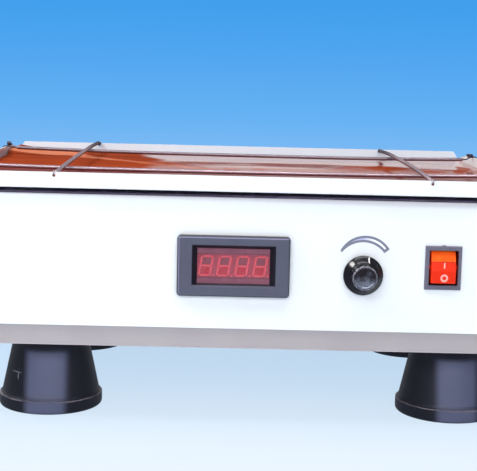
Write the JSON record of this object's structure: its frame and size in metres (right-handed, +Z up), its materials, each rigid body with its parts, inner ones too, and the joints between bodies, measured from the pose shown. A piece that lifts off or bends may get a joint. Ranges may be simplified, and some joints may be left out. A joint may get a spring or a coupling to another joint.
{
  "type": "destaining shaker",
  "caption": "Bench-top orbital destaining shaker: a sprung, matted tray over a white sheet-metal housing with a digital speed meter, speed knob and rocker switch, on rubber feet.",
  "frame": {"origin": "on the bench, under the middle of the housing", "axes": "+X to the right of a person facing the control panel, +Y to the back, +Z up"},
  "size_m": [0.4348, 0.3297, 0.1852],
  "materials": {
    "white_enamel": "gloss",
    "base_enamel": "satin",
    "foot_rubber": "satin",
    "zinc_steel": "satin",
    "machined_aluminium": "satin",
    "bearing_steel": "gloss",
    "cast_weight": "matte",
    "motor_paint": "satin",
    "belt_rubber": "matte",
    "board_plastic": "satin",
    "meter_plastic": "satin",
    "meter_glass": "gloss",
    "case_plastic": "satin",
    "tab_brass": "satin",
    "knob_plastic": "gloss",
    "cap_metal": "satin",
    "rocker_plastic": "gloss",
    "mat_rubber": "gloss",
    "spring_steel": "satin"
  },
  "bodies": {
    "housing": {"cover": "white_enamel", "base_pan": "base_enamel", "cover_screws": "zinc_steel", "foot_front_left": "foot_rubber", "foot_front_right": "foot_rubber", "foot_rear_left": "foot_rubber", "foot_rear_right": "foot_rubber", "foot_washers": "zinc_steel", "foot_bolts": "zinc_steel", "foot_nuts": "zinc_steel", "bearing_plate": "zinc_steel", "plate_screws": "zinc_steel", "main_bearing_housing": "machined_aluminium", "main_bearings": "bearing_steel", "idler_housings": "machined_aluminium", "idler_bearings": "bearing_steel", "housing_screws": "zinc_steel", "motor": "motor_paint", "motor_plate": "zinc_steel", "motor_standoffs": "zinc_steel", "drive_belt": "belt_rubber", "control_board": "board_plastic", "board_pillars": "zinc_steel", "transformer": "cast_weight", "heat_sink": "machined_aluminium", "meter_case": "meter_plastic", "meter_window": "meter_glass", "meter_display": "meter_plastic", "meter_clips": "zinc_steel", "potentiometer": "case_plastic", "potentiometer_nut": "zinc_steel", "switch_case": "case_plastic", "switch_tabs": "tab_brass", "mains_inlet": "case_plastic", "inlet_blades": "tab_brass", "fuse_holder": "case_plastic", "fuse_nut": "case_plastic", "fuse_cap": "case_plastic"},
    "drive_crank": {"drive_shaft": "bearing_steel", "counterweight": "cast_weight", "drive_pulley": "machined_aluminium"},
    "tray_carriage": {"tray": "white_enamel", "tray_hubs": "machined_aluminium", "tray_bearings": "bearing_steel", "hub_screws": "zinc_steel", "mat": "mat_rubber", "spring_front": "spring_steel", "spring_rear": "spring_steel", "spring_left": "spring_steel", "spring_right": "spring_steel"},
    "motor_rotor": {"motor_shaft": "bearing_steel", "motor_pulley": "machined_aluminium"},
    "speed_knob": {"knob": "knob_plastic", "knob_cap": "cap_metal", "potentiometer_shaft": "bearing_steel"},
    "power_rocker": {"rocker": "rocker_plastic"},
    "idler_front_left": {"idler_crank_front_left": "bearing_steel"},
    "idler_front_right": {"idler_crank_front_right": "bearing_steel"},
    "idler_rear_left": {"idler_crank_rear_left": "bearing_steel"},
    "idler_rear_right": {"idler_crank_rear_right": "bearing_steel"}
  },
  "joints": [
    {"name": "drive_spin", "type": "hinge", "parent": "housing", "child": "drive_crank", "pos_m": [0, 0, 0.15], "axis": [0, 0, 1], "continuous": true},
    {"name": "tray_turn", "type": "hinge", "parent": "drive_crank", "child": "tray_carriage", "pos_m": [-0.009, 0, 0.16], "axis": [0, 0, 1], "continuous": true},
    {"name": "idler_spin_front_left", "type": "hinge", "parent": "housing", "child": "idler_front_left", "pos_m": [-0.14, -0.088, 0.15], "axis": [0, 0, 1], "continuous": true},
    {"name": "idler_spin_front_right", "type": "hinge", "parent": "housing", "child": "idler_front_right", "pos_m": [0.14, -0.088, 0.15], "axis": [0, 0, 1], "continuous": true},
    {"name": "idler_spin_rear_left", "type": "hinge", "parent": "housing", "child": "idler_rear_left", "pos_m": [-0.14, 0.088, 0.15], "axis": [0, 0, 1], "continuous": true},
    {"name": "idler_spin_rear_right", "type": "hinge", "parent": "housing", "child": "idler_rear_right", "pos_m": [0.14, 0.088, 0.15], "axis": [0, 0, 1], "continuous": true},
    {"name": "motor_spin", "type": "hinge", "parent": "housing", "child": "motor_rotor", "pos_m": [-0.096, 0, 0.105], "axis": [0, 0, 1], "continuous": true},
    {"name": "knob_turn", "type": "hinge", "parent": "housing", "child": "speed_knob", "pos_m": [0.0765, -0.15, 0.1126], "axis": [0, 1, 0], "range_deg": [-170, 130]},
    {"name": "rocker_tip", "type": "hinge", "parent": "housing", "child": "power_rocker", "pos_m": [0.1326, -0.148, 0.119], "axis": [1, 0, 0], "range_deg": [0, 24]}
  ],
  "couplings": [
    {"joint": "tray_turn", "follows": "drive_spin", "ratio": -1},
    {"joint": "idler_spin_front_left", "follows": "drive_spin", "ratio": 1},
    {"joint": "idler_spin_front_right", "follows": "drive_spin", "ratio": 1},
    {"joint": "idler_spin_rear_left", "follows": "drive_spin", "ratio": 1},
    {"joint": "idler_spin_rear_right", "follows": "drive_spin", "ratio": 1},
    {"joint": "motor_spin", "follows": "drive_spin", "ratio": 4}
  ]
}
